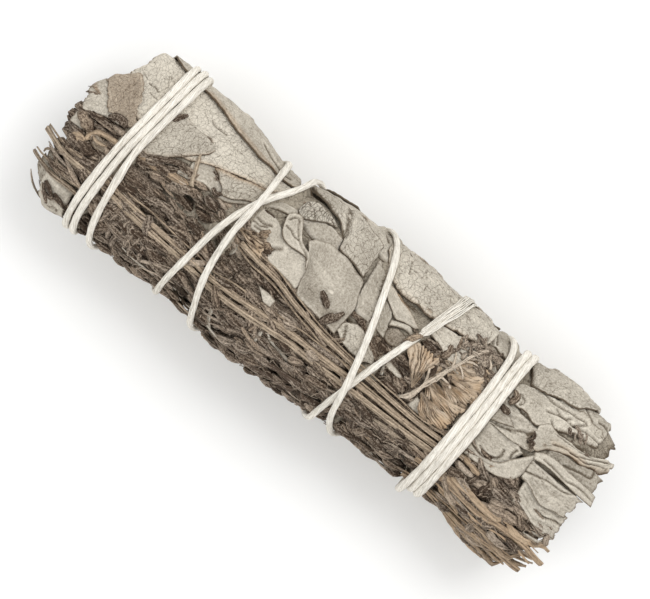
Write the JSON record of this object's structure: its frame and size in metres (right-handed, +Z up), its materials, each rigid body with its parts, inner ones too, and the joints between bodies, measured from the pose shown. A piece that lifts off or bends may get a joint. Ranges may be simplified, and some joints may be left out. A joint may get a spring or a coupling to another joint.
{
  "type": "sage and lavender bundle",
  "caption": "Hand-sized bundle of dried white sage leaves and lavender flower spikes, lying down and wound round with one cotton string.",
  "frame": {"origin": "centre of the bundle's box in plan, at the height it rests on", "axes": "+X along the bundle from the leaf tips to the cut stems, +Y towards the sage side, +Z up"},
  "size_m": [0.1249, 0.0412, 0.0339],
  "materials": {
    "sage_leaf": "matt dried leaf, felted with fine pale hairs",
    "sage_inner": "matt dried leaf and stalk, darker inside the bundle",
    "lavender_flower": "matt dried flower heads",
    "lavender_stem": "matt dried stem",
    "dried_brown_leaf": "matt withered leaf",
    "cotton_string": "matt twisted cotton"
  },
  "bodies": {
    "root": {"cotton_string": "cotton_string", "inner_leaf_01": "sage_inner", "inner_leaf_02": "sage_inner", "inner_leaf_03": "sage_inner", "lavender_spike_01": "lavender_flower", "lavender_spike_02": "lavender_flower", "lavender_spike_03": "lavender_flower", "lavender_spike_04": "lavender_flower", "lavender_spike_05": "lavender_flower", "lavender_spike_06": "lavender_flower", "lavender_spike_07": "lavender_flower", "lavender_spike_08": "lavender_flower", "lavender_spike_09": "lavender_flower", "lavender_spike_10": "lavender_flower", "lavender_spike_11": "lavender_flower", "lavender_stem_01": "lavender_stem", "lavender_stem_02": "lavender_stem", "lavender_stem_03": "lavender_stem", "lavender_stem_04": "lavender_stem", "lavender_stem_05": "lavender_stem", "lavender_stem_06": "lavender_stem", "sage_leaf_01": "sage_leaf", "sage_leaf_02": "sage_leaf", "sage_leaf_03": "sage_leaf", "sage_leaf_04": "sage_leaf", "sage_leaf_05": "sage_leaf", "sage_leaf_06": "sage_leaf", "sage_leaf_07": "sage_leaf", "sage_leaf_08": "sage_leaf", "sage_leaf_09": "sage_leaf", "sage_leaf_10": "sage_leaf", "sage_leaf_11": "sage_leaf", "sage_leaf_12": "sage_leaf", "sage_leaf_13": "sage_leaf", "sage_leaf_14": "sage_leaf", "sage_leaf_15": "sage_leaf", "sage_leaf_16": "sage_leaf", "sage_leaf_17": "sage_leaf", "sage_leaf_18": "sage_leaf", "sage_leaf_19": "sage_leaf", "sage_leaf_20": "sage_leaf", "sage_leaf_21": "sage_leaf", "sage_leaf_22": "sage_leaf", "sage_leaf_23": "sage_leaf", "sage_leaf_24": "sage_leaf", "sage_leaf_25": "sage_leaf", "sage_leaf_26": "sage_leaf", "sage_leaf_27": "sage_leaf", "sage_leaf_28": "sage_leaf", "sage_leaf_29": "sage_leaf", "sage_leaf_30": "sage_leaf", "sage_leaf_31": "sage_leaf", "sage_leaf_32": "sage_leaf", "sage_leaf_33": "sage_leaf", "sage_stalk_01": "sage_inner", "sage_stalk_02": "sage_inner", "shoot_leaf_01": "dried_brown_leaf", "shoot_leaf_02": "dried_brown_leaf", "shoot_leaf_03": "dried_brown_leaf", "shoot_stalk": "dried_brown_leaf"}
  },
  "joints": []
}
